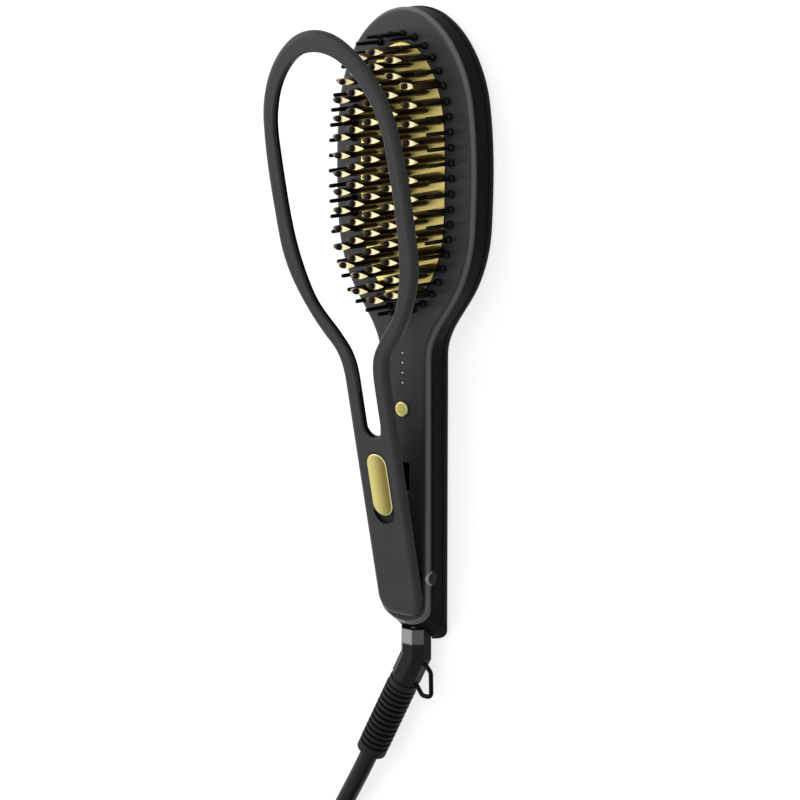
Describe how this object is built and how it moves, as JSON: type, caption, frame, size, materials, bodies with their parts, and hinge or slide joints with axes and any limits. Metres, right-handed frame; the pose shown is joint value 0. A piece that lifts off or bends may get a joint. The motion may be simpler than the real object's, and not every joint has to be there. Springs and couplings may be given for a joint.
{
  "type": "hair straightening brush",
  "caption": "Heated paddle brush with a hinged clamp arm, gold heating fins, guard pins, slide lock, power button and swivel mains cord.",
  "frame": {"origin": "on the plane of the flat back face, under the middle of the brush without its free cord", "axes": "+Y along the handle towards the head, +Z out of the bristle side, +X to the right seen from the bristle side"},
  "size_m": [0.1412, 0.5079, 0.0781],
  "materials": {
    "charcoal_shell": "fine matte soft-touch charcoal",
    "black_plastic": "matte black moulding",
    "bristle_nylon": "satin black heat-proof nylon",
    "gold_plate": "satin gold coating on die-cast aluminium",
    "gold_trim": "satin gold lacquer",
    "steel": "plated steel",
    "black_steel": "blackened steel wire",
    "ceramic": "pressed ceramic heating element",
    "mica": "mica sheet",
    "clamp_alloy": "stamped aluminium",
    "felt": "needled glass felt",
    "board": "green solder mask",
    "components": "moulded component cases",
    "clear_plastic": "clear light guide",
    "wire_red": "silicone insulation",
    "relief_rubber": "matte black moulded rubber",
    "cord_pvc": "satin black PVC sheath",
    "plug_pvc": "matte black moulded PVC",
    "plug_brass": "nickel-plated brass"
  },
  "bodies": {
    "handle": {"front_cover": "charcoal_shell", "mid_frame": "black_plastic", "rear_cover": "charcoal_shell", "case_screws": "steel", "heat_plate": "gold_plate", "heat_fins": "gold_plate", "fin_tips": "bristle_nylon", "guard_pins": "bristle_nylon", "pin_ring": "bristle_nylon", "heater_bars": "ceramic", "mica_sheet": "mica", "heater_clamp": "clamp_alloy", "clamp_screws": "steel", "thermistor": "components", "thermal_fuse": "clamp_alloy", "insulation_mat": "felt", "control_board": "board", "board_parts": "components", "board_screws": "steel", "indicator_leds": "clear_plastic", "light_pipe": "clear_plastic", "tact_switch": "components", "lead_wires": "wire_red", "hinge_pin": "steel", "arm_spring": "steel", "swivel_bush": "black_plastic"},
    "arm": {"arm_cover": "charcoal_shell", "arm_frame": "black_plastic", "arm_screws": "steel"},
    "lock": {"lock_pad": "gold_trim", "lock_hook": "black_plastic"},
    "button": {"power_button": "gold_trim", "switch_stem": "components"},
    "cord_end": {"swivel_elbow": "black_plastic", "swivel_clip": "steel", "strain_relief": "relief_rubber", "hang_loop": "black_steel", "cord_lead": "cord_pvc", "cord_coil": "cord_pvc", "cord_tie": "black_plastic", "plug_body": "plug_pvc", "plug_pins": "plug_brass"}
  },
  "joints": [
    {"name": "arm_hinge", "type": "hinge", "parent": "handle", "child": "arm", "pos_m": [0, -0.0985, 0.014], "axis": [-1, 0, 0], "range_deg": [0, 12.4], "stiffness_Nm_per_rad": 0.25, "springref_deg": -20.05, "deforming": ["arm_spring"]},
    {"name": "lock_slide", "type": "slide", "parent": "arm", "child": "lock", "axis": [0, -0.9767, -0.2147], "range_m": [0, 0.004]},
    {"name": "power_press", "type": "slide", "parent": "handle", "child": "button", "axis": [0, 0, -1], "range_m": [0, 0.0005], "stiffness_N_per_m": 2500},
    {"name": "cord_swivel", "type": "hinge", "parent": "handle", "child": "cord_end", "pos_m": [0, -0.13, 0.0079], "axis": [0, 1, 0], "continuous": true}
  ]
}
